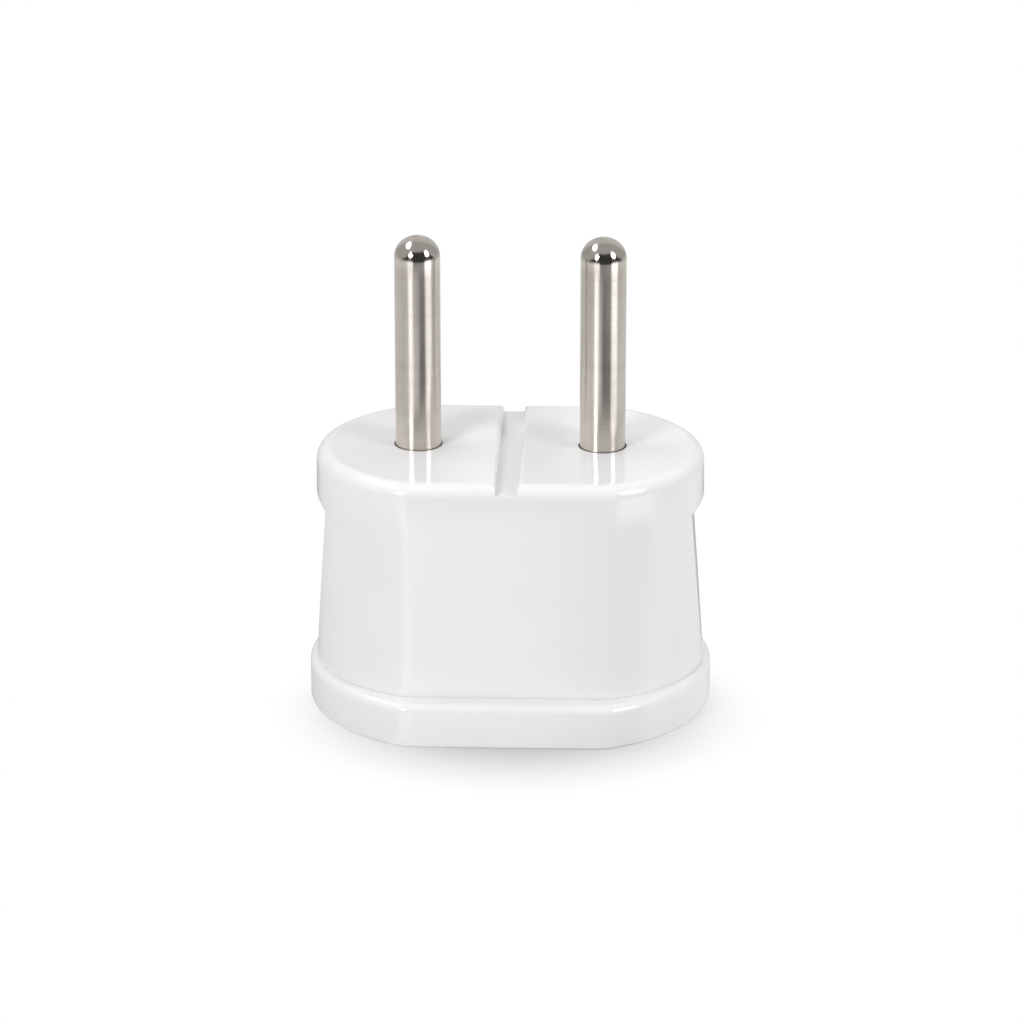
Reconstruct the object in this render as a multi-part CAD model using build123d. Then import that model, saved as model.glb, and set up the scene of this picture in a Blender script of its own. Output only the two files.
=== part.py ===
from build123d import *
import math
import os

# Two-pin travel plug, standing on its socket face with the pins up.
# Millimetres. +Z runs along the pins, X along the row of pins, origin at the middle of the socket face.

# Pins
PIN_PITCH = 19.0
PIN_DIAMETER = 4.7
PIN_LENGTH = 22.4  # from the pin face to the tip
CROWN_EXTRA = 0.15  # of the nose's crown radius over the pin's own radius
NOSE_SHOULDER = 2.1  # radius that blends the crown into the shank
PIN_HOLE_GAP = 0.15  # open ring around the pin in the pin face
PIN_RELIEF = 0.25  # depth of the turned neck just under the pin face
PIN_NECK = 1.2  # height of that neck
PIN_LAND_CLEARANCE = 0.05  # between the pin's guided land and its hole
COLLAR_DIAMETER = 7.4
COLLAR_HEIGHT = 1.6
TAIL_DIAMETER = 2.6
RIVET_DIAMETER = 4.2
RIVET_HEIGHT = 0.9

# Housing, outside
BODY_HEIGHT = 27.4  # from the socket face to the pin face
FACE_LENGTH = 40.0
FACE_DEPTH = 26.0
FACE_EDGE = 1.4  # rounding of the pin face's rim
PANEL_WIDTH = 20.4  # front and back panels, between the corners they would have if sharp
CORNER_RADIUS = 5.0  # between a panel and a bowed end
BODY_DRAFT = 0.6  # degrees that panels and ends lean
LIP_HEIGHT = 5.6  # from the pin face down to the grip flat in each end
LIP_OVERHANG = 1.18  # of the pin face past the top of a grip flat
LIP_SLOPE = 11.0  # degrees that the lip's underside rises outwards
GRIP_DRAFT = 4.4  # degrees that a grip flat leans
GROOVE_WIDTH = 2.3
GROOVE_DEPTH = 1.0
GROOVE_EDGE = 0.45  # rounding of the groove's upper edges

# Housing, inside
WALL = 2.0
FACE_WALL = 2.6
BOSS_WALL = 1.8
BOSS_DROP = 2.2  # how far a pin boss stands below the pin face's inside

# Socket base
FLANGE_HEIGHT = 4.5
FLANGE_END_LEDGE = 0.7
FLANGE_PANEL_LEDGE = 2.5
FLANGE_EDGE = 0.8
FOOT_EDGE = 0.15
FLOOR = 3.0
SPIGOT_HEIGHT = 2.2
SPIGOT_WALL = 1.5
SPIGOT_CLEARANCE = 0.1
PILLAR_HEIGHT = 6.0  # above the floor
PILLAR_WALL = 0.9
PROP_WIDTH = 4.0
PROP_CLEARANCE = 0.1  # under the rivet
SLOT_LEAD_IN = 0.35

# Flat blades that the socket takes, and the contacts that grip them
BLADE_PITCH = 12.7
BLADE_WIDTH = 6.35
BLADE_THICKNESS = 1.52
SLOT_CLEARANCE = 0.3  # on each side of a blade
SHEET = 0.6
LEAF_WIDTH = 6.0
LEAF_GAP = 2.0  # between the two leaves where they run parallel
PINCH_GAP = 1.1
PINCH_HEIGHT = 2.5  # above the mouth
MOUTH_GAP = 3.0
MOUTH_CLEARANCE = 0.6  # above the floor
SPREAD_HEIGHT = 6.5  # above the mouth, where the leaves become parallel
LEAF_BEND = 0.8
TAB_MARGIN = 3.0  # of the tab past the rivet's axis
LEAF_DROP = 0.8  # of the short leaf's top below the rivet
LEAF_ROOM = 0.5  # between a contact's mouth and the prop beside it
RIVET_CLEARANCE = 0.03

# Cover screw
SCREW_DIAMETER = 2.5
SCREW_LENGTH = 12.0  # under the head
SCREW_POINT = 1.2
HEAD_DIAMETER = 4.6
HEAD_HEIGHT = 1.6
HEAD_ROUND = 0.7
HEAD_RECESS = 0.3  # below the socket face
HEAD_CLEARANCE = 0.25
SHANK_CLEARANCE = 0.2  # in the base's pillar
PILOT_CLEARANCE = 0.02  # in the housing's boss
PILOT_RUNOUT = 1.0  # of the hole past the screw's point
CROSS_LENGTH = 2.6
CROSS_WIDTH = 0.7
CROSS_DEPTH = 1.0

# Places worked out from the sizes above
PIN_X = PIN_PITCH / 2
BLADE_X = BLADE_PITCH / 2
PIN_RADIUS = PIN_DIAMETER / 2
HOLE_RADIUS = PIN_RADIUS + PIN_HOLE_GAP
SEAM_Z = FLANGE_HEIGHT
LIP_Z = BODY_HEIGHT - LIP_HEIGHT
CEILING_Z = BODY_HEIGHT - FACE_WALL
COLLAR_TOP_Z = CEILING_Z - BOSS_DROP
TAB_TOP_Z = COLLAR_TOP_Z - COLLAR_HEIGHT
TAB_Z = TAB_TOP_Z - SHEET
RIVET_Z = TAB_Z - RIVET_HEIGHT
SEAT_Z = HEAD_RECESS + HEAD_HEIGHT
PILLAR_TOP_Z = FLOOR + PILLAR_HEIGHT
PILLAR_RADIUS = HEAD_DIAMETER / 2 + HEAD_CLEARANCE + PILLAR_WALL


def grip_length(z):
    """Distance between the two grip flats at a height."""
    under_lip = FACE_LENGTH - 2 * LIP_OVERHANG
    return under_lip + 2 * (LIP_Z - z) * math.tan(math.radians(GRIP_DRAFT))


def body_length(z):
    """Distance between the crests of the bowed ends at a height."""
    return FACE_LENGTH + 2 * (BODY_HEIGHT - z) * math.tan(math.radians(BODY_DRAFT))


def body_depth(z):
    """Distance between the front and back panels at a height."""
    return FACE_DEPTH + 2 * (BODY_HEIGHT - z) * math.tan(math.radians(BODY_DRAFT))


def plan(length, depth, z):
    """Body outline at a height: flat panels front and back, bowed ends, rounded corners."""
    x = PANEL_WIDTH / 2
    y = depth / 2
    with BuildSketch(Plane.XY.offset(z)) as outline:
        with BuildLine():
            Line((-x, -y), (x, -y))
            ThreePointArc((x, -y), (length / 2, 0), (x, y))
            Line((x, y), (-x, y))
            ThreePointArc((-x, y), (-length / 2, 0), (-x, -y))
        make_face()
        fillet(outline.vertices(), CORNER_RADIUS)
    return outline.sketch.face()


def shell_inside(low, high, inset):
    """Solid a given distance inside the panels and the grip flats, following their lean."""
    ends = [plan(grip_length(z) - 2 * inset, body_depth(z) - 2 * inset, z) for z in (low, high)]
    return loft(ends, ruled=True)


def upright(radius, low, high, x=0.0):
    """Round bar along Z between two heights."""
    return Pos(x, 0, low) * Cylinder(radius, high - low, align=(Align.CENTER, Align.CENTER, Align.MIN))


def grip_cut():
    """Wedge that leaves a grip flat, and the underside of the lip above it, in the +X end."""
    foot, top = ((grip_length(z) / 2, z) for z in (SEAM_Z - WALL, LIP_Z))
    reach = FACE_LENGTH
    rise = (reach - top[0]) * math.tan(math.radians(LIP_SLOPE))
    with BuildSketch(Plane.XZ) as view:
        with BuildLine():
            Polyline(foot, top, (reach, LIP_Z + rise), (reach, SEAM_Z - WALL), close=True)
        make_face()
    return extrude(view.sketch, FACE_DEPTH, both=True)


def housing_form():
    """Outside of the housing: leaning walls, rounded pin face and a grip flat in each end."""
    form = loft([plan(body_length(z), body_depth(z), z) for z in (SEAM_Z, BODY_HEIGHT)], ruled=True)
    form = fillet(form.edges().group_by(Axis.Z)[-1], FACE_EDGE)
    cut = grip_cut()
    return form - cut - Rot(Z=180) * cut


def groove():
    """Channel across the pin face between the pins, with rounded upper edges."""
    inner = GROOVE_WIDTH / 2
    outer = inner + GROOVE_EDGE
    floor = BODY_HEIGHT - GROOVE_DEPTH
    shoulder = BODY_HEIGHT - GROOVE_EDGE
    above = BODY_HEIGHT + GROOVE_DEPTH
    bow = GROOVE_EDGE * math.sqrt(0.5)
    with BuildSketch(Plane.XZ) as channel:
        with BuildLine():
            Polyline((-inner, shoulder), (-inner, floor), (inner, floor), (inner, shoulder))
            ThreePointArc((inner, shoulder), (outer - bow, shoulder + bow), (outer, BODY_HEIGHT))
            Polyline((outer, BODY_HEIGHT), (outer, above), (-outer, above), (-outer, BODY_HEIGHT))
            ThreePointArc((-outer, BODY_HEIGHT), (bow - outer, shoulder + bow), (-inner, shoulder))
        make_face()
    return extrude(channel.sketch, FACE_DEPTH, both=True)


def make_housing():
    body = housing_form() - shell_inside(SEAM_Z - WALL, CEILING_Z, WALL)
    screw_boss = upright(PILLAR_RADIUS, PILLAR_TOP_Z, CEILING_Z + FACE_WALL / 2)
    pilot_top = SEAT_Z + SCREW_LENGTH + PILOT_RUNOUT
    pilot = upright(SCREW_DIAMETER / 2 + PILOT_CLEARANCE, PILLAR_TOP_Z - WALL, pilot_top)
    for x in (-PIN_X, PIN_X):
        body += upright(HOLE_RADIUS + BOSS_WALL, COLLAR_TOP_Z, CEILING_Z + FACE_WALL / 2, x)
        body -= upright(HOLE_RADIUS, COLLAR_TOP_Z - WALL, BODY_HEIGHT + WALL, x)
    return body + screw_boss - pilot - groove()


def make_socket_base():
    length = body_length(SEAM_Z) + 2 * FLANGE_END_LEDGE
    depth = body_depth(SEAM_Z) + 2 * FLANGE_PANEL_LEDGE
    base = extrude(plan(length, depth, 0), FLANGE_HEIGHT)
    base = fillet(base.edges().group_by(Axis.Z)[-1], FLANGE_EDGE)
    base = fillet(base.edges().group_by(Axis.Z)[0], FOOT_EDGE)
    inset = WALL + SPIGOT_CLEARANCE
    spigot_top = SEAM_Z + SPIGOT_HEIGHT
    base += shell_inside(SEAM_Z, spigot_top, inset)
    base -= shell_inside(FLOOR, spigot_top + WALL, inset + SPIGOT_WALL)
    base += upright(PILLAR_RADIUS, FLOOR / 2, PILLAR_TOP_Z)
    prop_inner = BLADE_X + MOUTH_GAP / 2 + SHEET + LEAF_ROOM
    prop_length = PIN_X + COLLAR_DIAMETER / 2 - prop_inner
    prop_height = RIVET_Z - PROP_CLEARANCE - FLOOR / 2
    prop = Box(prop_length, PROP_WIDTH, prop_height, align=(Align.MIN, Align.CENTER, Align.MIN))
    slot_thickness = BLADE_THICKNESS + 2 * SLOT_CLEARANCE
    slot = Box(slot_thickness, BLADE_WIDTH + 2 * SLOT_CLEARANCE, 3 * FLOOR)
    for turn in (0, 180):
        base += Rot(Z=turn) * Pos(prop_inner, 0, FLOOR / 2) * prop
        base -= Rot(Z=turn) * Pos(BLADE_X, 0, 0) * slot
    base -= upright(SCREW_DIAMETER / 2 + SHANK_CLEARANCE, 0, PILLAR_TOP_Z + WALL)
    base -= upright(HEAD_DIAMETER / 2 + HEAD_CLEARANCE, -WALL, SEAT_Z)
    socket_face = base.faces().sort_by(Axis.Z)[0]
    return chamfer(socket_face.inner_wires().edges(), SLOT_LEAD_IN)


def make_pin():
    """Turned pin on the Z axis: domed nose, shank, relief neck, guided land, collar, riveted tail."""
    tip = BODY_HEIGHT + PIN_LENGTH
    crown = PIN_RADIUS + CROWN_EXTRA
    rim = (PIN_RADIUS, tip - crown + math.sqrt(crown**2 - PIN_RADIUS**2))
    rivet_rim = (RIVET_DIAMETER / 2, TAB_Z)
    neck_radius = PIN_RADIUS - PIN_RELIEF
    neck_z = BODY_HEIGHT - PIN_NECK
    land_radius = HOLE_RADIUS - PIN_LAND_CLEARANCE
    tail_radius = TAIL_DIAMETER / 2
    with BuildSketch(Plane.XZ) as half:
        with BuildLine():
            TangentArc((0, tip), rim, tangent=(1, 0))
            Polyline(
                rim,
                (PIN_RADIUS, BODY_HEIGHT),
                (neck_radius, BODY_HEIGHT),
                (neck_radius, neck_z),
                (land_radius, neck_z),
                (land_radius, COLLAR_TOP_Z),
                (COLLAR_DIAMETER / 2, COLLAR_TOP_Z),
                (COLLAR_DIAMETER / 2, TAB_TOP_Z),
                (tail_radius, TAB_TOP_Z),
                (tail_radius, TAB_Z),
                rivet_rim,
            )
            TangentArc((0, RIVET_Z), rivet_rim, tangent=(1, 0))
            Line((0, RIVET_Z), (0, tip))
        make_face()
        fillet(half.vertices().sort_by_distance(rim)[0], NOSE_SHOULDER)
    return revolve(half.sketch, Axis.Z)


def leaf(side, top):
    """Edge view of one contact leaf, as points up its blade side and down its other side."""
    mouth = FLOOR + MOUTH_CLEARANCE
    course = [
        (MOUTH_GAP / 2, mouth),
        (PINCH_GAP / 2, mouth + PINCH_HEIGHT),
        (LEAF_GAP / 2, mouth + SPREAD_HEIGHT),
        (LEAF_GAP / 2, top),
    ]
    up = [(BLADE_X + side * gap, z) for gap, z in course]
    down = [(x + side * SHEET, z) for x, z in reversed(up)]
    return up, down


def bent_strip(points, bends):
    """Sheet strip across Y from its edge view, with the listed corners rounded to their radius."""
    with BuildSketch(Plane.XZ) as view:
        with BuildLine():
            Polyline(*points, close=True)
        make_face()
        for (x, z), radius in bends:
            corner = view.vertices().sort_by_distance((x, z))[0]
            fillet(corner, radius)
    return extrude(view.sketch, LEAF_WIDTH / 2, both=True)


def make_contact():
    """Contact for the +X pin, one folded sheet: two leaves joined by a fold, and a tab under the collar."""
    short_top = RIVET_Z - LEAF_DROP
    up, down = leaf(1, short_top)
    contact = bent_strip(up + down, [(point, LEAF_BEND) for point in up[1:3] + down[1:3]])
    up, down = leaf(-1, TAB_Z)
    outer_corner = (down[0][0], TAB_TOP_Z)
    tab_end = PIN_X + TAB_MARGIN
    strip = up + [(tab_end, TAB_Z), (tab_end, TAB_TOP_Z), outer_corner] + down[1:]
    bends = [(point, LEAF_BEND) for point in up[1:3] + down[1:3]]
    bends += [(up[3], LEAF_BEND), (outer_corner, LEAF_BEND + SHEET)]
    contact += bent_strip(strip, bends)
    fold_low = FLOOR + MOUTH_CLEARANCE + SPREAD_HEIGHT + LEAF_BEND
    fold = upright(LEAF_GAP / 2 + SHEET, fold_low, short_top) - upright(LEAF_GAP / 2, fold_low, short_top)
    fold = split(fold, Plane.XZ, keep=Keep.BOTTOM)
    contact += Pos(BLADE_X, LEAF_WIDTH / 2, 0) * fold
    return contact - upright(TAIL_DIAMETER / 2 + RIVET_CLEARANCE, TAB_Z - SHEET, TAB_TOP_Z + SHEET, PIN_X)


def make_cover_screw():
    """Cross-recess screw, head down, entering from the socket face."""
    head_radius = HEAD_DIAMETER / 2
    shank_radius = SCREW_DIAMETER / 2
    tip = SEAT_Z + SCREW_LENGTH
    with BuildSketch(Plane.XZ) as half:
        with BuildLine():
            Polyline(
                (0, HEAD_RECESS),
                (head_radius, HEAD_RECESS),
                (head_radius, SEAT_Z),
                (shank_radius, SEAT_Z),
                (shank_radius, tip - SCREW_POINT),
                (0, tip),
                close=True,
            )
        make_face()
        rim = half.vertices().sort_by_distance((head_radius, HEAD_RECESS))[0]
        fillet(rim, HEAD_ROUND)
    screw = revolve(half.sketch, Axis.Z)
    arm = Pos(0, 0, HEAD_RECESS) * Box(CROSS_LENGTH, CROSS_WIDTH, 2 * CROSS_DEPTH)
    return screw - arm - Rot(Z=90) * arm


pin = make_pin()
contact = make_contact()
nodes = {
    "housing": make_housing(),
    "socket_base": make_socket_base(),
    "pin_left": Pos(-PIN_X, 0, 0) * pin,
    "pin_right": Pos(PIN_X, 0, 0) * pin,
    "contact_left": Rot(Z=180) * contact,
    "contact_right": contact,
    "cover_screw": make_cover_screw(),
}

os.makedirs("parts", exist_ok=True)
for name, solid in nodes.items():
    export_step(solid, f"parts/{name}.step")
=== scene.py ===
import math

import bmesh
import bpy
from mathutils import Matrix, Vector


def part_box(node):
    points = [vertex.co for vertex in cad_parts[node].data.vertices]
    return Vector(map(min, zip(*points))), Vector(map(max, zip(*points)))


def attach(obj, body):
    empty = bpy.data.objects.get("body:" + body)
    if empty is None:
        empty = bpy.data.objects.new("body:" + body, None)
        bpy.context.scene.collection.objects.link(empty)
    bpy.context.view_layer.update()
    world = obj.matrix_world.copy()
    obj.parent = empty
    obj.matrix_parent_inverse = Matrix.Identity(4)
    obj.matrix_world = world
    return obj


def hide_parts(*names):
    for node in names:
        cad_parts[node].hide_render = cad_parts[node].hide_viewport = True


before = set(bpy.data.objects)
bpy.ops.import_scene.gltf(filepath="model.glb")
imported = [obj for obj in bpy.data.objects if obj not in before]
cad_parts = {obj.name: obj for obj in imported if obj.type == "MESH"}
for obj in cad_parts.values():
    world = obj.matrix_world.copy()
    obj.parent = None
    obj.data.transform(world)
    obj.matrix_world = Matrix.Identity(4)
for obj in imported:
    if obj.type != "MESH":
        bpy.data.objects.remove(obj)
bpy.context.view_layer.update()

# Sizes in metres, read from the frame where it has them and otherwise the same as the solids'
MM = 0.001
housing_low, housing_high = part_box("housing")
base_low, base_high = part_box("socket_base")
pin_low, pin_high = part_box("pin_right")
screw_low, screw_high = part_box("cover_screw")

SEAM_Z = housing_low.z
FACE_Z = housing_high.z
PIN_X = (pin_low.x + pin_high.x) / 2
TIP_Z = pin_high.z
RIVET_Z = pin_low.z
PROP_Z = base_high.z

# Body outline
FACE_LENGTH = 40.0 * MM
FACE_DEPTH = 26.0 * MM
FACE_EDGE = 1.4 * MM
PANEL_WIDTH = 20.4 * MM
CORNER_RADIUS = 5.0 * MM
BODY_DRAFT = math.radians(0.6)
LIP_HEIGHT = 5.6 * MM
LIP_OVERHANG = 1.18 * MM
LIP_SLOPE = math.radians(11.0)
LIP_ROUND = 0.25  # share of the lip's overhang that its lower edge is rounded by
GRIP_DRAFT = math.radians(4.4)
GROOVE_WIDTH = 2.3 * MM
GROOVE_DEPTH = 1.0 * MM
GROOVE_EDGE = 0.45 * MM
LIP_Z = FACE_Z - LIP_HEIGHT

# Walls and bosses inside
WALL = 2.0 * MM
FACE_WALL = 2.6 * MM
BOSS_WALL = 1.8 * MM
BOSS_DROP = 2.2 * MM
PILLAR_RADIUS = 3.45 * MM
PILLAR_TOP_Z = 9.0 * MM
PILOT_RADIUS = 1.27 * MM
PILOT_RUNOUT = 1.0 * MM
CEILING_Z = FACE_Z - FACE_WALL
COLLAR_TOP_Z = CEILING_Z - BOSS_DROP

# Socket base
FLANGE_END_LEDGE = 0.7 * MM
FLANGE_PANEL_LEDGE = 2.5 * MM
FLANGE_EDGE = 0.8 * MM
FOOT_EDGE = 0.15 * MM
FLOOR = 3.0 * MM
SPIGOT_HEIGHT = 2.2 * MM
SPIGOT_WALL = 1.5 * MM
SPIGOT_CLEARANCE = 0.1 * MM
PROP_INNER = 8.95 * MM
PROP_OUTER = 13.2 * MM
PROP_WIDTH = 4.0 * MM
SLOT_X = 6.35 * MM
SLOT_THICKNESS = 2.12 * MM
SLOT_WIDTH = 6.95 * MM
SLOT_LEAD_IN = 0.35 * MM
SHANK_HOLE_RADIUS = 1.45 * MM
HEAD_HOLE_RADIUS = 2.55 * MM

# Pins
PIN_RADIUS = 2.35 * MM
CROWN_RADIUS = 2.5 * MM
NOSE_SHOULDER = 2.1 * MM
HOLE_RADIUS = 2.5 * MM
NECK_RADIUS = 2.1 * MM
NECK_HEIGHT = 1.2 * MM
NOSE_HEIGHT = 2.19 * MM
LAND_RADIUS = 2.45 * MM
COLLAR_RADIUS = 3.7 * MM
COLLAR_HEIGHT = 1.6 * MM
TAIL_RADIUS = 1.3 * MM
TAIL_HEIGHT = 0.6 * MM
RIVET_RADIUS = 2.1 * MM

# Cover screw
SCREW_HEAD_RADIUS = 2.3 * MM
SCREW_HEAD_HEIGHT = 1.6 * MM
SCREW_HEAD_ROUND = 0.7 * MM
SCREW_CORE_RADIUS = 0.95 * MM
SCREW_CREST_RADIUS = 1.25 * MM
SCREW_POINT = 1.2 * MM
THREAD_PITCH = 1.0 * MM
THREAD_TURNS = 10
THREAD_ROOT = 0.9  # share of the core's radius that the ridge starts from
THREAD_FLANK = 0.3  # half of the ridge's height, as a share of the pitch
CROSS_LENGTH = 2.6 * MM
CROSS_WIDTH = 0.7 * MM
CROSS_DEPTH = 1.0 * MM
SEAT_Z = screw_low.z + SCREW_HEAD_HEIGHT

# Fineness of the meshes
CORNER_STEPS = 14
BOW_STEPS = 56
SIDE_STEPS = 20
GRIP_STEPS = 24
GRIP_LOOPS = 16
EDGE_STEPS = 10
LIP_STEPS = 6
ROUND_STEPS = 96
NOSE_STEPS = 12
THREAD_STEPS = 32
HOLD = 0.04 * MM  # width of the narrow faces that keep a rounding's shading off its flat neighbour
CREASE = math.radians(0.4)  # turn about a bowed end's centre that softens the edge of its grip flat
SHARP_ANGLE = math.radians(32)
MERGE_DISTANCE = 0.0005 * MM


def grip_length(z):
    """Distance between the two grip flats at a height."""
    return FACE_LENGTH - 2 * LIP_OVERHANG + 2 * (LIP_Z - z) * math.tan(GRIP_DRAFT)


def body_length(z):
    """Distance between the crests of the bowed ends at a height."""
    return FACE_LENGTH + 2 * (FACE_Z - z) * math.tan(BODY_DRAFT)


def body_depth(z):
    """Distance between the front and back panels at a height."""
    return FACE_DEPTH + 2 * (FACE_Z - z) * math.tan(BODY_DRAFT)


def spun(bm, vert, centre, angle, steps, axis=(0, 0, 1)):
    """Last vertex of an arc that starts at a vertex."""
    made = bmesh.ops.spin(bm, geom=[vert], cent=centre, axis=axis, angle=angle, steps=steps)
    return next(item for item in made["geom_last"] if isinstance(item, bmesh.types.BMVert))


def extended(bm, vert, point):
    """Vertex at a point, joined to the one given by a straight edge."""
    made = bm.verts.new(point)
    bm.edges.new((vert, made))
    return made


def outline(bm, length, depth, z, grip=None, reach=1.0, rise=0.0):
    """Closed loop of edges: flat panels front and back, bowed ends, rounded corners.

    A grip, the distance between two grip flats, adds points where they meet the ends. What lies past a flat
    then keeps the given share of its reach and gains height by the given rise.
    """
    bow = length / 2 - PANEL_WIDTH / 2
    bow_radius = ((depth / 2) ** 2 + bow**2) / (2 * bow)
    bow_x = length / 2 - bow_radius
    corner_y = depth / 2 - CORNER_RADIUS
    corner_x = bow_x + math.sqrt((bow_radius - CORNER_RADIUS) ** 2 - corner_y**2)
    half_bow = math.atan2(corner_y, corner_x - bow_x)
    corner = math.pi / 2 - half_bow
    others = set(bm.verts)
    first = bm.verts.new((corner_x, -depth / 2, z))
    vert = spun(bm, first, (corner_x, -corner_y, z), corner, CORNER_STEPS)
    turns = [(2 * half_bow, BOW_STEPS)]
    if grip:
        half_grip = math.acos((grip / 2 - bow_x) / bow_radius)
        side = (half_bow - half_grip - CREASE, SIDE_STEPS)
        middle = (2 * (half_grip - CREASE), GRIP_STEPS)
        turns = [side, (CREASE, 1), (CREASE, 1), middle, (CREASE, 1), (CREASE, 1), side]
    for turn, steps in turns:
        vert = spun(bm, vert, (bow_x, 0, z), turn, steps)
    last = spun(bm, vert, (corner_x, corner_y, z), corner, CORNER_STEPS)
    end = [v for v in bm.verts if v not in others]
    if grip:
        for v in end:
            past = max(v.co.x - grip / 2, 0)
            v.co += Vector((past * (reach - 1), 0, past * rise))
    edges = list({edge for v in end for edge in v.link_edges})
    copy = bmesh.ops.duplicate(bm, geom=end + edges)
    other_end = [item for item in copy["geom"] if isinstance(item, bmesh.types.BMVert)]
    bmesh.ops.rotate(bm, verts=other_end, cent=(0, 0, 0), matrix=Matrix.Rotation(math.pi, 3, "Z"))
    loop = edges + [item for item in copy["geom"] if isinstance(item, bmesh.types.BMEdge)]
    loop.append(bm.edges.new((last, copy["vert_map"][first])))
    loop.append(bm.edges.new((copy["vert_map"][last], first)))
    return loop


def lofted(plans):
    """Closed solid through a stack of outlines, each given as outline() takes it, and its loops."""
    bm = bmesh.new()
    loops = [outline(bm, *plan) for plan in plans]
    for lower, upper in zip(loops, loops[1:]):
        bmesh.ops.bridge_loops(bm, edges=lower + upper)
    for loop in (loops[0], loops[-1]):
        bmesh.ops.contextual_create(bm, geom=loop)
    bmesh.ops.recalc_face_normals(bm, faces=bm.faces)
    return bm, loops


def rounded(bm, edges, radius):
    """Round edges to a radius."""
    bmesh.ops.bevel(
        bm, geom=edges, offset=radius, offset_type="OFFSET", affect="EDGES", segments=EDGE_STEPS,
        profile=0.5, material=-1, clamp_overlap=False,
    )


def held_flat(bm, z):
    """Give the flat face at a height a narrow rim, so that its shading stays flat inside it."""
    flat = [face for face in bm.faces if all(abs(v.co.z - z) < MERGE_DISTANCE for v in face.verts)]
    bmesh.ops.inset_region(bm, faces=flat, thickness=HOLD, use_even_offset=True)


def bar(radius, low, high, x=0.0):
    """Round bar along Z between two heights."""
    bm = bmesh.new()
    bmesh.ops.create_cone(
        bm, cap_ends=True, segments=ROUND_STEPS, radius1=radius, radius2=radius, depth=high - low,
        matrix=Matrix.Translation((x, 0, (low + high) / 2)),
    )
    return bm


def block(low, high):
    """Rectangular block between two corners."""
    bm = bmesh.new()
    low, high = Vector(low), Vector(high)
    place = Matrix.Translation((low + high) / 2) @ Matrix.Diagonal((*(high - low), 1))
    bmesh.ops.create_cube(bm, size=1, matrix=place)
    return bm


def turned(profile):
    """Solid of revolution about the Z axis from a profile that fills a bmesh."""
    bm = bmesh.new()
    profile(bm)
    geom = bm.verts[:] + bm.edges[:]
    bmesh.ops.spin(
        bm, geom=geom, cent=(0, 0, 0), axis=(0, 0, 1), angle=2 * math.pi, steps=ROUND_STEPS, use_merge=True,
    )
    bmesh.ops.remove_doubles(bm, verts=bm.verts, dist=MERGE_DISTANCE)
    bmesh.ops.recalc_face_normals(bm, faces=bm.faces)
    return bm


def mesh_of(bm, name):
    """Mesh of a bmesh, which is used up."""
    mesh = bpy.data.meshes.new(name)
    bm.to_mesh(mesh)
    bm.free()
    return mesh


def carved(bm, steps):
    """The solid after each tool in turn is joined to it or cut from it."""
    tools = []
    holder = bpy.data.objects.new("holder", mesh_of(bm, "holder"))
    bpy.context.scene.collection.objects.link(holder)
    for operation, tool_bm in steps:
        tool = bpy.data.objects.new("tool", mesh_of(tool_bm, "tool"))
        bpy.context.scene.collection.objects.link(tool)
        modifier = holder.modifiers.new(operation, "BOOLEAN")
        modifier.operation = operation
        modifier.solver = "EXACT"
        modifier.object = tool
        tools.append(tool)
    result = bmesh.new()
    result.from_object(holder, bpy.context.evaluated_depsgraph_get())
    for used in [holder, *tools]:
        bpy.data.meshes.remove(used.data)
    bmesh.ops.remove_doubles(result, verts=result.verts, dist=MERGE_DISTANCE)
    bmesh.ops.dissolve_degenerate(result, edges=result.edges, dist=MERGE_DISTANCE)
    return result


def piece(name, bm, material, node):
    """Finished piece that stands for a node: smooth but for its sharp edges, riding on the one body."""
    mesh = mesh_of(bm, name)
    mesh.materials.append(material)
    mesh.shade_smooth()
    mesh.set_sharp_from_angle(angle=SHARP_ANGLE)
    made = bpy.data.objects.new(name, mesh)
    bpy.context.scene.collection.objects.link(made)
    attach(made, "root")
    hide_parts(node)


# Housing


def groove_tool():
    """Channel across the pin face, with rounded upper edges."""
    inner = GROOVE_WIDTH / 2
    shoulder_z = FACE_Z - GROOVE_EDGE
    outer = inner + GROOVE_EDGE
    bm = bmesh.new()
    first = bm.verts.new((inner, -FACE_DEPTH, FACE_Z - GROOVE_DEPTH))
    vert = extended(bm, first, (inner, -FACE_DEPTH, shoulder_z))
    vert = spun(bm, vert, (outer, -FACE_DEPTH, shoulder_z), math.pi / 2, EDGE_STEPS, axis=(0, 1, 0))
    extended(bm, vert, (outer, -FACE_DEPTH, FACE_Z + GROOVE_DEPTH))
    bmesh.ops.mirror(bm, geom=bm.verts[:] + bm.edges[:], axis="X", merge_dist=-1)
    ends = [v for v in bm.verts if len(v.link_edges) == 1]
    for z in (FACE_Z - GROOVE_DEPTH, FACE_Z + GROOVE_DEPTH):
        bm.edges.new([v for v in ends if abs(v.co.z - z) < MERGE_DISTANCE])
    bmesh.ops.contextual_create(bm, geom=bm.edges[:])
    made = bmesh.ops.extrude_face_region(bm, geom=bm.faces[:])
    moved = [item for item in made["geom"] if isinstance(item, bmesh.types.BMVert)]
    bmesh.ops.translate(bm, verts=moved, vec=(0, 2 * FACE_DEPTH, 0))
    bmesh.ops.recalc_face_normals(bm, faces=bm.faces)
    return bm


def shell_inside(low, high, inset):
    """Solid a given distance inside the panels and the grip flats, following their lean."""
    return lofted([(grip_length(z) - 2 * inset, body_depth(z) - 2 * inset, z) for z in (low, high)])[0]


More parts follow.
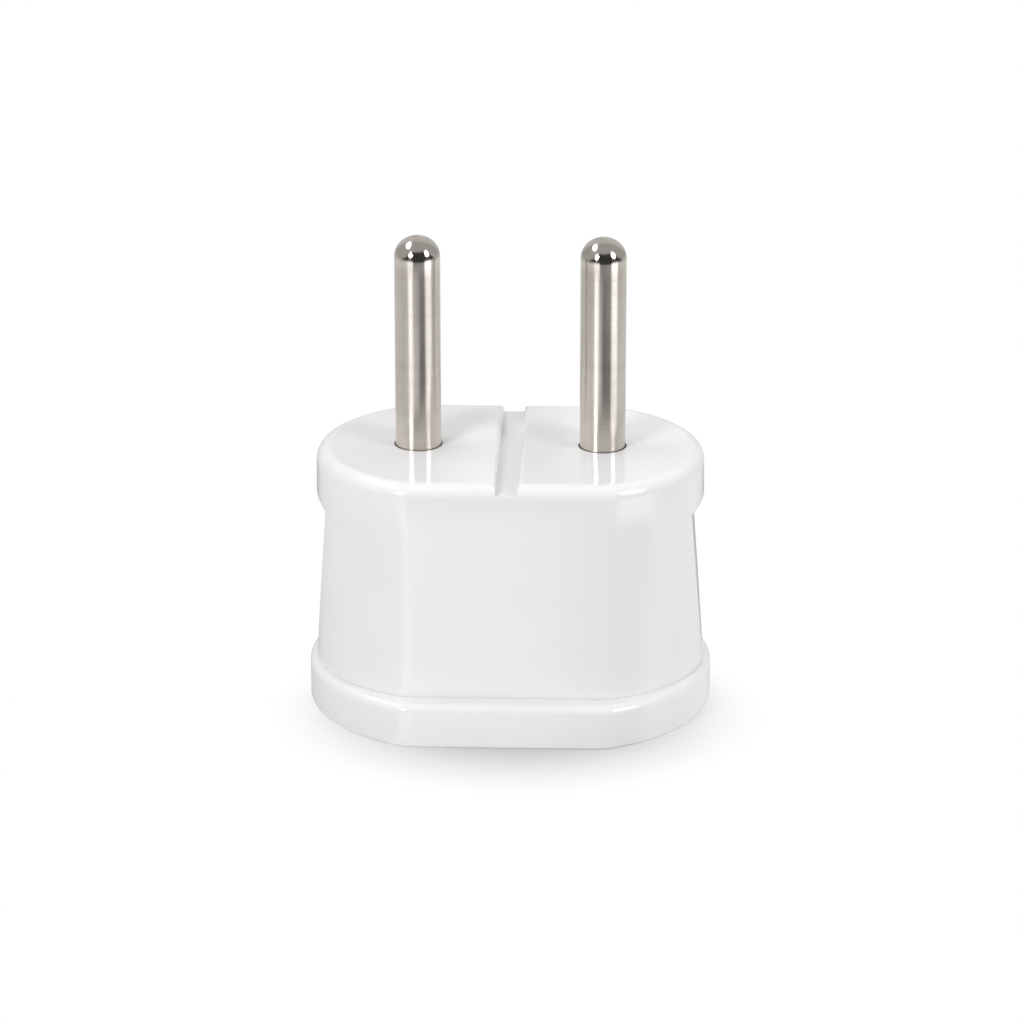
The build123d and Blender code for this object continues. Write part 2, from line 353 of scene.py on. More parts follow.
def housing_shell():
    """White shell with its pin face, lips, grip flats, bosses and groove."""
    heights = [SEAM_Z + (LIP_Z - SEAM_Z) * step / GRIP_LOOPS for step in range(GRIP_LOOPS + 1)]
    plans = [(body_length(z), body_depth(z), z, grip_length(z), 0.0) for z in heights]
    slope = math.tan(LIP_SLOPE)
    under = 1 - LIP_ROUND
    lip = [(under / 2, slope * under / 2)]
    for step in range(LIP_STEPS + 1):
        turn = math.pi / 2 * step / LIP_STEPS
        lip.append((under + LIP_ROUND * math.sin(turn), slope * under + LIP_ROUND * (1 - math.cos(turn))))
    for step, (reach, rise) in enumerate(lip, 1):
        z = LIP_Z + step * HOLD
        plans.append((body_length(z), body_depth(z), z, grip_length(LIP_Z), reach, rise))
    plans.append((FACE_LENGTH, FACE_DEPTH, FACE_Z, grip_length(LIP_Z)))
    bm, loops = lofted(plans)
    rounded(bm, loops[-1], FACE_EDGE)
    held_flat(bm, FACE_Z)
    steps = [("DIFFERENCE", shell_inside(SEAM_Z - WALL, CEILING_Z, WALL))]
    boss_top = CEILING_Z + FACE_WALL / 2
    for x in (-PIN_X, PIN_X):
        steps.append(("UNION", bar(HOLE_RADIUS + BOSS_WALL, COLLAR_TOP_Z, boss_top, x)))
        steps.append(("DIFFERENCE", bar(HOLE_RADIUS, COLLAR_TOP_Z - WALL, FACE_Z + WALL, x)))
    steps.append(("UNION", bar(PILLAR_RADIUS, PILLAR_TOP_Z, boss_top)))
    steps.append(("DIFFERENCE", bar(PILOT_RADIUS, PILLAR_TOP_Z - WALL, screw_high.z + PILOT_RUNOUT)))
    steps.append(("DIFFERENCE", groove_tool()))
    return carved(bm, steps)


# Socket base


def slot_tool(x):
    """Blade slot with a flared mouth in the socket face."""
    half = Vector((SLOT_THICKNESS / 2, SLOT_WIDTH / 2, 0))
    centre = Vector((x, 0, 0))
    bm = block(centre - half + Vector((0, 0, SLOT_LEAD_IN)), centre + half + Vector((0, 0, 2 * FLOOR)))
    mouth = min(bm.faces, key=lambda face: face.calc_center_median().z)
    for _ in range(2):
        made = bmesh.ops.extrude_face_region(bm, geom=[mouth])
        bmesh.ops.delete(bm, geom=[mouth], context="FACES_ONLY")
        mouth = next(item for item in made["geom"] if isinstance(item, bmesh.types.BMFace))
        flared = half + Vector((SLOT_LEAD_IN, SLOT_LEAD_IN, 0))
        scale = (flared.x / half.x, flared.y / half.y, 1)
        bmesh.ops.scale(bm, verts=mouth.verts, vec=scale, space=Matrix.Translation(-centre))
        bmesh.ops.translate(bm, verts=mouth.verts, vec=(0, 0, -SLOT_LEAD_IN))
        half = flared
    bmesh.ops.recalc_face_normals(bm, faces=bm.faces)
    return bm


def mouth_tool(radius):
    """Flare of a round hole's mouth in the socket face."""
    bm = bmesh.new()
    bmesh.ops.create_cone(
        bm, cap_ends=True, segments=ROUND_STEPS, radius1=radius + 2 * SLOT_LEAD_IN, radius2=radius,
        depth=2 * SLOT_LEAD_IN,
    )
    return bm


def base_shell():
    """White base with its flange, spigot, pillar, props, blade slots and screw hole."""
    length = body_length(SEAM_Z) + 2 * FLANGE_END_LEDGE
    depth = body_depth(SEAM_Z) + 2 * FLANGE_PANEL_LEDGE
    bm, loops = lofted([(length, depth, base_low.z), (length, depth, SEAM_Z)])
    rounded(bm, loops[-1], FLANGE_EDGE)
    foot = [edge for edge in bm.edges if all(abs(v.co.z - base_low.z) < MERGE_DISTANCE for v in edge.verts)]
    rounded(bm, foot, FOOT_EDGE)
    held_flat(bm, SEAM_Z)
    held_flat(bm, base_low.z)
    inset = WALL + SPIGOT_CLEARANCE
    spigot_top = SEAM_Z + SPIGOT_HEIGHT
    steps = [
        ("UNION", shell_inside(SEAM_Z, spigot_top, inset)),
        ("DIFFERENCE", shell_inside(FLOOR, spigot_top + WALL, inset + SPIGOT_WALL)),
        ("UNION", bar(PILLAR_RADIUS, FLOOR / 2, PILLAR_TOP_Z)),
    ]
    half = PROP_WIDTH / 2
    for inner, outer in ((PROP_INNER, PROP_OUTER), (-PROP_OUTER, -PROP_INNER)):
        steps.append(("UNION", block((inner, -half, FLOOR / 2), (outer, half, PROP_Z))))
    for x in (-SLOT_X, SLOT_X):
        steps.append(("DIFFERENCE", slot_tool(x)))
    steps.append(("DIFFERENCE", bar(SHANK_HOLE_RADIUS, 0, PILLAR_TOP_Z + WALL)))
    steps.append(("DIFFERENCE", bar(HEAD_HOLE_RADIUS, -WALL, SEAT_Z)))
    steps.append(("DIFFERENCE", mouth_tool(HEAD_HOLE_RADIUS)))
    return carved(bm, steps)


# Pins


def pin_profile(bm):
    """Half section of a pin: domed nose, shank, relief neck, guided land, collar and riveted tail."""
    crown_z = TIP_Z - CROWN_RADIUS
    shoulder_x = PIN_RADIUS - NOSE_SHOULDER
    reach = CROWN_RADIUS - NOSE_SHOULDER
    crown_turn = math.asin(shoulder_x / reach)
    shoulder_z = crown_z + reach * math.cos(crown_turn)
    vert = bm.verts.new((0, 0, TIP_Z))
    vert = spun(bm, vert, (0, 0, crown_z), crown_turn, NOSE_STEPS, axis=(0, 1, 0))
    vert = spun(
        bm, vert, (shoulder_x, 0, shoulder_z), math.pi / 2 - crown_turn, NOSE_STEPS, axis=(0, 1, 0),
    )
    tab_top = COLLAR_TOP_Z - COLLAR_HEIGHT
    tab_bottom = tab_top - TAIL_HEIGHT
    corners = [
        (PIN_RADIUS, FACE_Z), (NECK_RADIUS, FACE_Z), (NECK_RADIUS, FACE_Z - NECK_HEIGHT),
        (LAND_RADIUS, FACE_Z - NECK_HEIGHT), (LAND_RADIUS, COLLAR_TOP_Z), (COLLAR_RADIUS, COLLAR_TOP_Z),
        (COLLAR_RADIUS, tab_top), (TAIL_RADIUS, tab_top), (TAIL_RADIUS, tab_bottom),
        (RIVET_RADIUS, tab_bottom),
    ]
    for x, z in corners:
        vert = extended(bm, vert, (x, 0, z))
    rivet_height = tab_bottom - RIVET_Z
    rivet_round = (RIVET_RADIUS**2 + rivet_height**2) / (2 * rivet_height)
    rivet_turn = math.asin(RIVET_RADIUS / rivet_round)
    spun(bm, vert, (0, 0, RIVET_Z + rivet_round), rivet_turn, NOSE_STEPS, axis=(0, 1, 0))


def pin(x):
    """Pin with its axis at a distance from the middle."""
    bm = turned(pin_profile)
    bmesh.ops.translate(bm, verts=bm.verts, vec=(x, 0, 0))
    return bm


# Cover screw


def screw_profile(bm):
    """Half section of the screw, head down."""
    vert = bm.verts.new((0, 0, screw_low.z))
    vert = extended(bm, vert, (SCREW_HEAD_RADIUS - SCREW_HEAD_ROUND, 0, screw_low.z))
    round_centre = (SCREW_HEAD_RADIUS - SCREW_HEAD_ROUND, 0, screw_low.z + SCREW_HEAD_ROUND)
    vert = spun(bm, vert, round_centre, -math.pi / 2, EDGE_STEPS, axis=(0, 1, 0))
    corners = [
        (SCREW_HEAD_RADIUS, SEAT_Z), (SCREW_CORE_RADIUS, SEAT_Z),
        (SCREW_CORE_RADIUS, screw_high.z - SCREW_POINT), (0, screw_high.z),
    ]
    for x, z in corners:
        vert = extended(bm, vert, (x, 0, z))


def thread():
    """Helical ridge around the screw's core."""
    bm = bmesh.new()
    start_z = SEAT_Z + THREAD_PITCH / 2
    root = SCREW_CORE_RADIUS * THREAD_ROOT
    half = THREAD_PITCH * THREAD_FLANK
    corners = [(root, start_z - half), (SCREW_CREST_RADIUS, start_z), (root, start_z + half)]
    verts = [bm.verts.new((x, 0, z)) for x, z in corners]
    face = bm.faces.new(verts)
    bmesh.ops.spin(
        bm, geom=[face], cent=(0, 0, 0), axis=(0, 0, 1), angle=2 * math.pi * THREAD_TURNS,
        steps=THREAD_STEPS * THREAD_TURNS, dvec=(0, 0, THREAD_PITCH / THREAD_STEPS),
    )
    bmesh.ops.recalc_face_normals(bm, faces=bm.faces)
    return bm


def cover_screw():
    """Screw with its thread and the cross in its head."""
    arm = CROSS_LENGTH / 2, CROSS_WIDTH / 2
    top = screw_low.z + CROSS_DEPTH
    steps = [("UNION", thread())]
    for x, y in (arm, arm[::-1]):
        steps.append(("DIFFERENCE", block((-x, -y, -CROSS_DEPTH), (x, y, top))))
    return carved(turned(screw_profile), steps)


# Contacts


def merged_copy(node):
    """Copy of a node's triangles with their shared corners joined."""
    bm = bmesh.new()
    bm.from_mesh(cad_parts[node].data)
    bmesh.ops.remove_doubles(bm, verts=bm.verts, dist=MERGE_DISTANCE)
    return bm


# Finishes

LINE_WAVER = 220.0  # patches per metre of the unevenness that bends a tool's lines
LINE_SWAY = 0.25 * MM  # and how far it bends them
BAND_SHARE = 0.08  # of the number of lines, for the broader bands among them
NOSE_BLEND = (1.8, 0.95)  # below the tip, in heights of the nose, where turned rings give way to polish
NOSE_ROUGHNESS = 0.09


def add(tree, kind, inputs=None, **settings):
    """Node of a kind, with its settings and with its inputs set to values or linked from sockets."""
    made = tree.nodes.new(kind)
    for name, value in settings.items():
        setattr(made, name, value)
    for name, value in (inputs or {}).items():
        if isinstance(value, bpy.types.NodeSocket):
            tree.links.new(value, made.inputs[name])
        else:
            made.inputs[name].default_value = value
    return made


def group(name, inputs, outputs):
    """Empty node group with float or vector inputs and float outputs."""
    tree = bpy.data.node_groups.new(name, "ShaderNodeTree")
    for label, kind, value in inputs:
        socket = tree.interface.new_socket(label, in_out="INPUT", socket_type=kind)
        if value is not None:
            socket.default_value = value
    for label in outputs:
        tree.interface.new_socket(label, in_out="OUTPUT", socket_type="NodeSocketFloat")
    return tree, tree.nodes.new("NodeGroupInput"), tree.nodes.new("NodeGroupOutput")


def ramp(tree, value, low, high, **settings):
    """Value spread from 0 at low to 1 at high."""
    inputs = {"Value": value, "From Min": low, "From Max": high}
    return add(tree, "ShaderNodeMapRange", inputs, **settings).outputs[0]


def sums(tree, operation, *values):
    """Result of a math operation on values or sockets."""
    return add(tree, "ShaderNodeMath", dict(enumerate(values)), operation=operation).outputs[0]


def blend(tree, share, first, second):
    """Value between two values or sockets by a share."""
    return add(tree, "ShaderNodeMix", {"Factor": share, "A": first, "B": second}).outputs[0]


def handling_marks():
    """Soft uneven patches left by hands and by the mould, from 0 to 1."""
    inputs = [("Place", "NodeSocketVector", None), ("Patches per metre", "NodeSocketFloat", 60.0)]
    tree, given, result = group("handling_marks", inputs, ["Mask"])
    noise = add(
        tree, "ShaderNodeTexNoise",
        {"Vector": given.outputs["Place"], "Scale": given.outputs["Patches per metre"], "Detail": 4.0,
         "Roughness": 0.6},
    )
    tree.links.new(ramp(tree, noise.outputs["Fac"], 0.35, 0.7), result.inputs["Mask"])
    return tree


def tool_lines():
    """Fine uneven lines across one direction, as a cutting tool or a roller leaves them, from 0 to 1."""
    inputs = [
        ("Along", "NodeSocketFloat", 0.0), ("Place", "NodeSocketVector", None),
        ("Lines per metre", "NodeSocketFloat", 12000.0),
    ]
    tree, given, result = group("tool_lines", inputs, ["Lines", "Bands"])
    waver = add(
        tree, "ShaderNodeTexNoise", {"Vector": given.outputs["Place"], "Scale": LINE_WAVER, "Detail": 2.0},
    )
    sway = sums(tree, "MULTIPLY_ADD", waver.outputs["Fac"], LINE_SWAY, given.outputs["Along"])
    for label, share in (("Lines", 1.0), ("Bands", BAND_SHARE)):
        count = sums(tree, "MULTIPLY", given.outputs["Lines per metre"], share)
        noise = add(
            tree, "ShaderNodeTexNoise", {"W": sway, "Scale": count, "Detail": 3.0, "Roughness": 0.65},
            noise_dimensions="1D",
        )
        tree.links.new(ramp(tree, noise.outputs["Fac"], 0.3, 0.7), result.inputs[label])
    return tree


HANDLING_MARKS = handling_marks()
TOOL_LINES = tool_lines()


def finish_tree(name):
    """New material with only its shader and output, and the place on the piece as a vector."""
    material = bpy.data.materials.new(name)
    material.use_nodes = True
    tree = material.node_tree
    shader = tree.nodes["Principled BSDF"]
    place = tree.nodes.new("ShaderNodeTexCoord").outputs["Object"]
    return material, tree, shader, place


def grouped(tree, source, inputs):
    """Node group placed in a material."""
    return add(tree, "ShaderNodeGroup", inputs, node_tree=source)


def tone(tree, mask, dark, light):
    """Colour between two tones by a mask."""
    mix = add(tree, "ShaderNodeMix", data_type="RGBA")
    tree.links.new(mask, mix.inputs["Factor"])
    mix.inputs["A"].default_value = (*dark, 1)
    mix.inputs["B"].default_value = (*light, 1)
    return next(out for out in mix.outputs if out.type == "RGBA")


def spread(tree, mask, low, high):
    """Value between two limits by a mask."""
    return add(tree, "ShaderNodeMapRange", {"Value": mask, "To Min": low, "To Max": high}).outputs[0]


def bump(tree, shader, height, distance, strength):
    """Fine relief on a shader's surface."""
    made = add(tree, "ShaderNodeBump", {"Height": height, "Distance": distance, "Strength": strength})
    tree.links.new(made.outputs["Normal"], shader.inputs["Normal"])


def gloss_white_plastic():
    """Moulded white plastic: glossy, with a faint orange peel and softly uneven shine."""
    material, tree, shader, place = finish_tree("gloss_white_plastic")
    marks = grouped(tree, HANDLING_MARKS, {"Place": place, "Patches per metre": 70.0}).outputs["Mask"]
    peel = add(tree, "ShaderNodeTexNoise", {"Vector": place, "Scale": 420.0, "Detail": 2.0})
    white = tone(tree, marks, (0.832, 0.833, 0.833), (0.848, 0.848, 0.846))
    tree.links.new(white, shader.inputs["Base Color"])
    tree.links.new(spread(tree, marks, 0.06, 0.11), shader.inputs["Roughness"])
    bump(tree, shader, peel.outputs["Fac"], 0.01 * MM, 0.2)
    shader.inputs["IOR"].default_value = 1.58
    shader.inputs["Subsurface Weight"].default_value = 0.25
    shader.inputs["Subsurface Radius"].default_value = (1.0, 0.95, 0.9)
    shader.inputs["Subsurface Scale"].default_value = 0.6 * MM
    return material


def turned_nickel():
    """Nickel plating over turned metal: fine rings around the pin, rougher along it than around it."""
    material, tree, shader, place = finish_tree("turned_nickel")
    height = add(tree, "ShaderNodeSeparateXYZ", {0: place}).outputs["Z"]
    rings = grouped(tree, TOOL_LINES, {"Along": height, "Place": place, "Lines per metre": 9000.0})
    marks = grouped(tree, HANDLING_MARKS, {"Place": place, "Patches per metre": 160.0}).outputs["Mask"]
    mixed = sums(tree, "MULTIPLY_ADD", rings.outputs["Bands"], 0.5, marks)
    tree.links.new(tone(tree, mixed, (0.68, 0.628, 0.57), (0.77, 0.72, 0.66)), shader.inputs["Base Color"])
    nose = ramp(tree, height, *(TIP_Z - share * NOSE_HEIGHT for share in NOSE_BLEND))
    ringed = spread(tree, rings.outputs["Lines"], 0.19, 0.25)
    tree.links.new(blend(tree, nose, ringed, NOSE_ROUGHNESS), shader.inputs["Roughness"])
    bump(tree, shader, rings.outputs["Lines"], 0.004 * MM, 0.35)
    tangent = add(tree, "ShaderNodeTangent", direction_type="RADIAL", axis="Z")
    tree.links.new(tangent.outputs[0], shader.inputs["Tangent"])
    shader.inputs["Metallic"].default_value = 1.0
    shader.inputs["Anisotropic"].default_value = 1.0
    shader.inputs["Anisotropic Rotation"].default_value = 0.25
    return material


def rolled_brass():
    """Spring brass sheet with fine rolling lines and slight tarnish."""
    material, tree, shader, place = finish_tree("rolled_brass")
    across = add(tree, "ShaderNodeSeparateXYZ", {0: place}).outputs["Y"]
    lines = grouped(tree, TOOL_LINES, {"Along": across, "Place": place, "Lines per metre": 14000.0})
    marks = grouped(tree, HANDLING_MARKS, {"Place": place, "Patches per metre": 260.0}).outputs["Mask"]
    tree.links.new(tone(tree, marks, (0.62, 0.44, 0.19), (0.78, 0.59, 0.29)), shader.inputs["Base Color"])
    tree.links.new(spread(tree, lines.outputs["Lines"], 0.24, 0.38), shader.inputs["Roughness"])
    bump(tree, shader, lines.outputs["Lines"], 0.004 * MM, 0.4)
    shader.inputs["Metallic"].default_value = 1.0
    return material


def plated_steel():
    """Zinc-plated screw steel with a slightly uneven sheen."""
    material, tree, shader, place = finish_tree("plated_steel")
    along = add(tree, "ShaderNodeSeparateXYZ", {0: place}).outputs["Z"]
    lines = grouped(tree, TOOL_LINES, {"Along": along, "Place": place, "Lines per metre": 11000.0})
    marks = grouped(tree, HANDLING_MARKS, {"Place": place, "Patches per metre": 420.0}).outputs["Mask"]
    tree.links.new(tone(tree, marks, (0.50, 0.51, 0.53), (0.66, 0.67, 0.68)), shader.inputs["Base Color"])
    tree.links.new(spread(tree, marks, 0.24, 0.38), shader.inputs["Roughness"])
    bump(tree, shader, lines.outputs["Bands"], 0.005 * MM, 0.4)
    shader.inputs["Metallic"].default_value = 1.0
    return material


WHITE_PLASTIC = gloss_white_plastic()
NICKEL = turned_nickel()
BRASS = rolled_brass()
STEEL = plated_steel()

piece("housing_shell", housing_shell(), WHITE_PLASTIC, "housing")
piece("base_shell", base_shell(), WHITE_PLASTIC, "socket_base")
for side, x in (("left", -PIN_X), ("right", PIN_X)):
    piece(f"plated_pin_{side}", pin(x), NICKEL, f"pin_{side}")
    piece(f"spring_contact_{side}", merged_copy(f"contact_{side}"), BRASS, f"contact_{side}")
piece("threaded_cover_screw", cover_screw(), STEEL, "cover_screw")


# Floor, light and camera

# Camera as fitted to the photo
CAMERA_DISTANCE = 500.0 * MM
CAMERA_ELEVATION = math.radians(20.71)
CAMERA_AZIMUTH = math.radians(1.93)
CAMERA_LENS = 169.3
CAMERA_SENSOR = 36.0
CAMERA_CLIP = (0.01, 20.0)
AIM_HEIGHT = 19.90 * MM
AIM_RIGHT = 0.165 * MM

# Floor, which shows its paper and the shadow in an oval and is plain white outside it
FLOOR_RADIUS = 150.0 * MM
FLOOR_TONE = 0.58
SHADE_CENTRE = (0.9 * MM, -6.0 * MM, 0)
SHADE_REACH = (23.6 * MM, 20.0 * MM, 1)
SHADE_FADE = (0.38, 1.12)  # in reaches from the centre

# Light on the plug: even from all around, and from softboxes. Each has its name, its azimuth, elevation,
# width and height in degrees, what it gives a white surface that faces it, and whether gloss mirrors it
AMBIENT = 0.404
LAMP_DISTANCE = 0.45
SOFTBOXES = (
    ("left_softbox", -35, 27, 17, 19, 0.45, True),
    ("right_softbox", 58, 31, 20, 28, 0.28, True),
    ("upper_left_softbox", -100, 58, 38, 20, 0.19, True),
    ("back_softbox", 175, 64, 60, 50, 0.27, False),
    ("side_softbox", 105, 12, 60, 40, 0.3, False),
)

# What gloss sees above the horizon: a ceiling, a backdrop with cards, and a dark band in front. Heights and
# distances are those of a direction of length 1, and sectors go by degrees from the front towards +X
CEILING_TONE = 0.4
BACKDROP_TONE = 0.58
BACKDROP_LEAN = 0.5  # share of the height that counts as distance towards the back
BACKDROP_EDGE = (0.74, 0.9)  # distances towards the back at which the backdrop starts and is full
BACKDROP_CARDS = (  # distances sideways and tones
    (-0.2, 0.58), (-0.12, 0.3), (-0.04, 0.3), (-0.02, 0.8), (0.1, 0.8), (0.2, 0.58),
)
CARD_HEIGHT = 0.36  # of the backdrop's cards, where the pin face mirrors them
CARD_EDGE = (0.04, 0.08)  # and how far they reach from there, up and down
DARK_TONE = 0.04
DARK_DROP = 0.2  # taken from the heights in DARK_SECTORS, so that none there is below 0
DARK_SOFTNESS = 0.06
DARK_SECTORS = (
    (-180, 0.0), (-90, 0.0), (-60, 0.3), (-40, 0.6), (-25, 0.9), (45, 0.9), (65, 0.6), (85, 0.3), (110, 0.0),
    (180, 0.0),
)

# What gloss sees below the horizon: a painted glow on the floor near the plug, and the room beyond it
GLOW_CORNER_X = 10.9 * MM  # from the middle to the front corners that bearings are counted from
FLOOR_GLOW_REACH = (80.0 * MM, 103.0 * MM)  # where the painted glow gives way to the room
FLOOR_GLOW_LEVEL = 1.6
# Painted glow by bearing, seen only by gloss: its bright and dark sectors paint highlight stripes and dark
# bands into the plug's walls
FLOOR_GLOW_SECTORS = (
    (-180, 0.2), (-168, 0.2), (-155, 0.36), (-91, 0.36), (-56, 0.44), (-45, 0.48), (-39, 1.0), (-17, 1.0),
    (-11, 0.75), (-9, 0.7), (0, 0.64), (3, 0.55), (5.3, 0.34), (8, 0.12), (11, 0.0), (61, 0.0), (77, 0.15),
    (96, 0.7), (121, 0.62), (150, 0.5), (172, 0.25), (180, 0.25),
)
ROOM_LEVEL = 2.2
ROOM_SECTORS = (
    (-180, 0.33), (-70, 0.36), (-50, 0.46), (-42, 0.7), (-21, 0.7), (-17, 0.4), (10, 0.46), (38, 0.6),
    (45, 1.0), (72, 1.0), (80, 0.36), (100, 0.36), (180, 0.36),
)
ROOM_EDGE = (-0.08, -0.3)  # heights at which the room starts and is full
FRONT_DROP = (-0.18, -0.08)  # and what is added to those in the front
FRONT_SECTORS = ((-180, 0.0), (-21, 0.0), (-15, 1.0), (36, 1.0), (44, 0.0), (180, 0.0))


def direction(azimuth, elevation):
    """Unit vector from the object towards a place, azimuth counted from the front towards +X."""
    across = math.cos(elevation)
    return Vector((math.sin(azimuth) * across, -math.cos(azimuth) * across, math.sin(elevation)))


def aimed(thing, place, target):
    """Put a light or camera at a place, looking at a target."""
    thing.location = place
    thing.rotation_euler = (Vector(target) - place).to_track_quat("-Z", "Y").to_euler()
    bpy.context.scene.collection.objects.link(thing)


def softbox(name, azimuth, elevation, width, height, share, mirrored):
    """Oval softbox at arm's length, aimed at the plug."""
    light = bpy.data.lights.new(name, "AREA")
    light.shape = "ELLIPSE"
    light.size = 2 * LAMP_DISTANCE * math.tan(math.radians(width) / 2)
    light.size_y = 2 * LAMP_DISTANCE * math.tan(math.radians(height) / 2)
    light.energy = share * math.pi**2 * LAMP_DISTANCE**2
    lamp = bpy.data.objects.new(name, light)
    lamp.visible_glossy = mirrored
    target = Vector((0, 0, AIM_HEIGHT))
    offset = direction(math.radians(azimuth), math.radians(elevation)) * LAMP_DISTANCE
    aimed(lamp, offset + target, target)


def glow_bearing(tree, place):
    """Bearing of a spot on the floor from the body's nearer front corner.

    In front of the panel it changes by a degree for each mm along the panel.
    """
    parts = add(tree, "ShaderNodeSeparateXYZ", {0: place})
    ahead = sums(tree, "MULTIPLY_ADD", parts.outputs["Y"], -1.0, -FACE_DEPTH / 2)
    limits = {"Value": parts.outputs["X"], "Min": -GLOW_CORNER_X, "Max": GLOW_CORNER_X}
    along = add(tree, "ShaderNodeClamp", limits).outputs[0]
    turn = sums(tree, "ARCTAN2", sums(tree, "SUBTRACT", parts.outputs["X"], along), ahead)
    return sums(tree, "MULTIPLY_ADD", along, math.radians(1) / MM, turn)


def stepped(tree, value, stops):
    """Tone by a value, straight between stops of value and tone."""
    low, high = stops[0][0], stops[-1][0]
    made = add(tree, "ShaderNodeValToRGB", {"Fac": ramp(tree, value, low, high)})
    for stop, _ in stops[1:-1]:
        made.color_ramp.elements.new((stop - low) / (high - low))
    for element, (_, shade) in zip(made.color_ramp.elements, stops):
        element.color = (shade, shade, shade, 1)
    return made.outputs["Color"]


def sectors(tree, bearing, stops):
    """Tone by a bearing, from stops in degrees."""
    return stepped(tree, bearing, [(math.radians(degrees), shade) for degrees, shade in stops])


def shader_blend(tree, share, first, second):
    """Node that mixes two nodes' shaders by a share."""
    return add(tree, "ShaderNodeMixShader", {0: share, 1: first.outputs[0], 2: second.outputs[0]})


def paper_floor():
    """Round of pale paper that keeps the object's shadow and fades to white.

    Gloss sees a painted glow on it, bright and dark bands shown only to reflections, and through it the room
    beyond them.
    """
    bm = bmesh.new()
    bmesh.ops.create_circle(bm, cap_ends=True, segments=ROUND_STEPS, radius=FLOOR_RADIUS)
    material = bpy.data.materials.new("white_paper")
    material.use_nodes = True
    material.cycles.emission_sampling = "NONE"
    tree = material.node_tree
    tree.nodes.clear()
    path = tree.nodes.new("ShaderNodeLightPath")
    place = tree.nodes.new("ShaderNodeTexCoord").outputs["Object"]
    offset = add(tree, "ShaderNodeVectorMath", {0: place, 1: SHADE_CENTRE}, operation="SUBTRACT").outputs[0]
    scaled = add(tree, "ShaderNodeVectorMath", {0: offset, 1: SHADE_REACH}, operation="DIVIDE").outputs[0]
    away = add(tree, "ShaderNodeVectorMath", {0: scaled}, operation="LENGTH").outputs["Value"]
    plain = ramp(tree, away, *SHADE_FADE, interpolation_type="SMOOTHSTEP")
    paper = add(tree, "ShaderNodeBsdfDiffuse", {"Color": (FLOOR_TONE, FLOOR_TONE, FLOOR_TONE, 1)})
    white = add(tree, "ShaderNodeEmission", {"Strength": 1.0})
    share = sums(tree, "MULTIPLY", plain, path.outputs["Is Camera Ray"])
    seen = shader_blend(tree, share, paper, white)
    # Painted glow for reflections only, which puts highlights and dark bands on the plug's walls
    level = sums(tree, "MULTIPLY", sectors(tree, glow_bearing(tree, place), FLOOR_GLOW_SECTORS), FLOOR_GLOW_LEVEL)
    glow_bands = add(tree, "ShaderNodeEmission", {"Strength": level})
    room = tree.nodes.new("ShaderNodeBsdfTransparent")
    distance = add(tree, "ShaderNodeVectorMath", {0: place}, operation="LENGTH").outputs["Value"]
    beyond = ramp(tree, distance, *FLOOR_GLOW_REACH, interpolation_type="SMOOTHSTEP")
    gloss = shader_blend(tree, beyond, glow_bands, room)
    mix = shader_blend(tree, path.outputs["Is Glossy Ray"], seen, gloss)
    out = tree.nodes.new("ShaderNodeOutputMaterial")
    tree.links.new(mix.outputs[0], out.inputs["Surface"])
    mesh = mesh_of(bm, "paper_floor")
    mesh.materials.append(material)
    floor = bpy.data.objects.new("paper_floor", mesh)
    bpy.context.scene.collection.objects.link(floor)


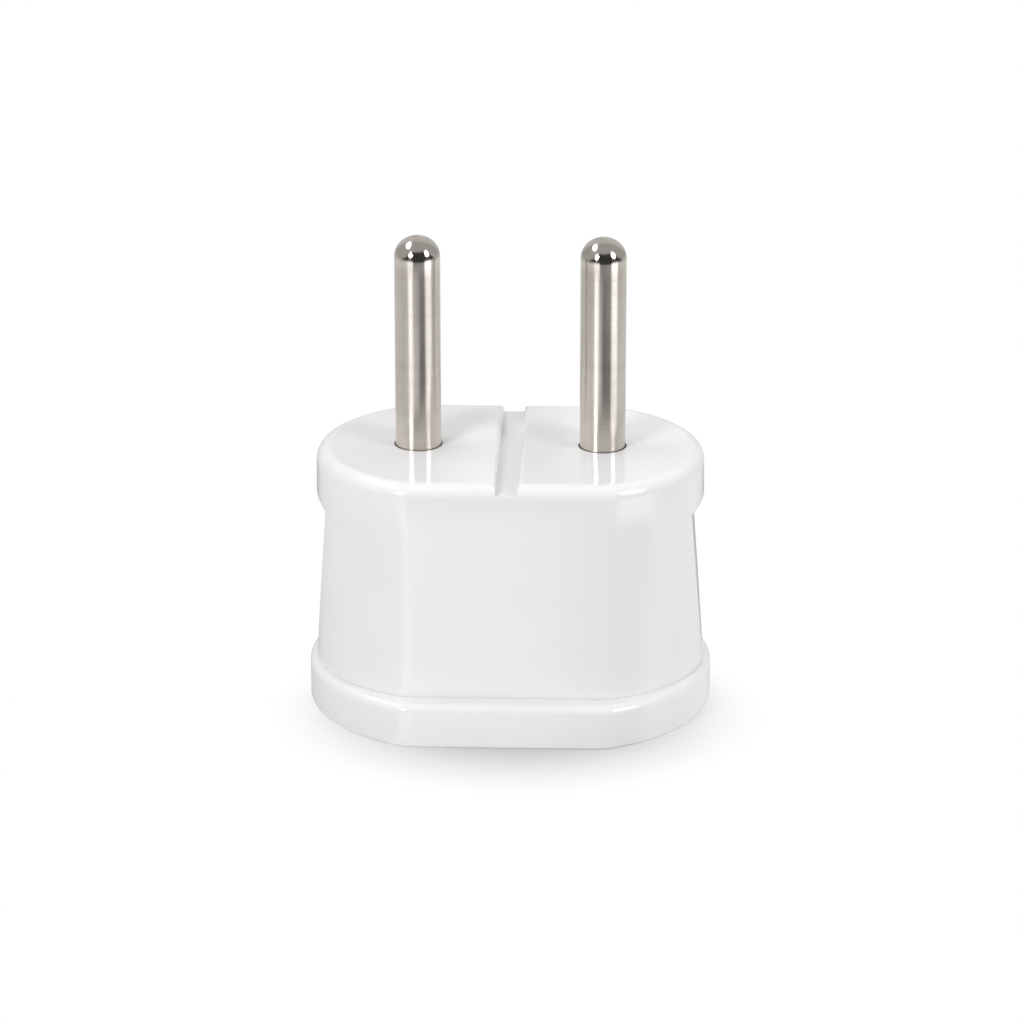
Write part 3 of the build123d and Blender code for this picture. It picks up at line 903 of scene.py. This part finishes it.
def studio_world():
    """White for the camera, even soft light for surfaces, and a studio with a dark front for gloss."""
    world = bpy.data.worlds.new("studio")
    bpy.context.scene.world = world
    world.use_nodes = True
    world.cycles.sampling_method = "NONE"
    tree = world.node_tree
    tree.nodes.clear()
    path = tree.nodes.new("ShaderNodeLightPath")
    towards = tree.nodes.new("ShaderNodeTexCoord").outputs["Generated"]
    parts = add(tree, "ShaderNodeSeparateXYZ", {0: towards})
    up = parts.outputs["Z"]
    depth = sums(tree, "MULTIPLY_ADD", up, BACKDROP_LEAN, parts.outputs["Y"])
    back = ramp(tree, depth, *BACKDROP_EDGE)
    aside = sums(tree, "ABSOLUTE", sums(tree, "SUBTRACT", up, CARD_HEIGHT))
    glow_bands = stepped(tree, parts.outputs["X"], BACKDROP_CARDS)
    plain = ramp(tree, aside, *CARD_EDGE)
    backdrop = blend(tree, plain, glow_bands, BACKDROP_TONE)
    high = blend(tree, back, CEILING_TONE, backdrop)
    azimuth = sums(tree, "ARCTAN2", parts.outputs["X"], sums(tree, "MULTIPLY", parts.outputs["Y"], -1.0))
    over = sums(tree, "SUBTRACT", up, sectors(tree, azimuth, DARK_SECTORS))
    clear = ramp(tree, over, -DARK_DROP - DARK_SOFTNESS, -DARK_DROP + DARK_SOFTNESS)
    room = blend(tree, clear, DARK_TONE, high)
    strips = sums(tree, "MULTIPLY", sectors(tree, azimuth, ROOM_SECTORS), ROOM_LEVEL)
    front = sectors(tree, azimuth, FRONT_SECTORS)
    edge = [sums(tree, "MULTIPLY_ADD", front, *values) for values in zip(FRONT_DROP, ROOM_EDGE)]
    low = ramp(tree, up, *edge)
    gloss = blend(tree, low, room, strips)
    lit = blend(tree, path.outputs["Is Glossy Ray"], AMBIENT, gloss)
    shown = blend(tree, path.outputs["Is Camera Ray"], lit, 1.0)
    background = add(tree, "ShaderNodeBackground", {"Color": (1, 1, 1, 1), "Strength": shown})
    out = tree.nodes.new("ShaderNodeOutputWorld")
    tree.links.new(background.outputs[0], out.inputs["Surface"])


def photo_camera():
    """Camera at the photo's viewing angle."""
    camera = bpy.data.cameras.new("photo_camera")
    camera.lens = CAMERA_LENS
    camera.sensor_width = CAMERA_SENSOR
    camera.clip_start, camera.clip_end = CAMERA_CLIP
    right = Vector((math.cos(CAMERA_AZIMUTH), math.sin(CAMERA_AZIMUTH), 0))
    target = Vector((0, 0, AIM_HEIGHT)) + right * AIM_RIGHT
    viewer = bpy.data.objects.new("photo_camera", camera)
    aimed(viewer, target + direction(CAMERA_AZIMUTH, CAMERA_ELEVATION) * CAMERA_DISTANCE, target)
    bpy.context.scene.camera = viewer


paper_floor()
studio_world()
for settings in SOFTBOXES:
    softbox(*settings)
photo_camera()
bpy.context.scene.view_settings.view_transform = "Standard"
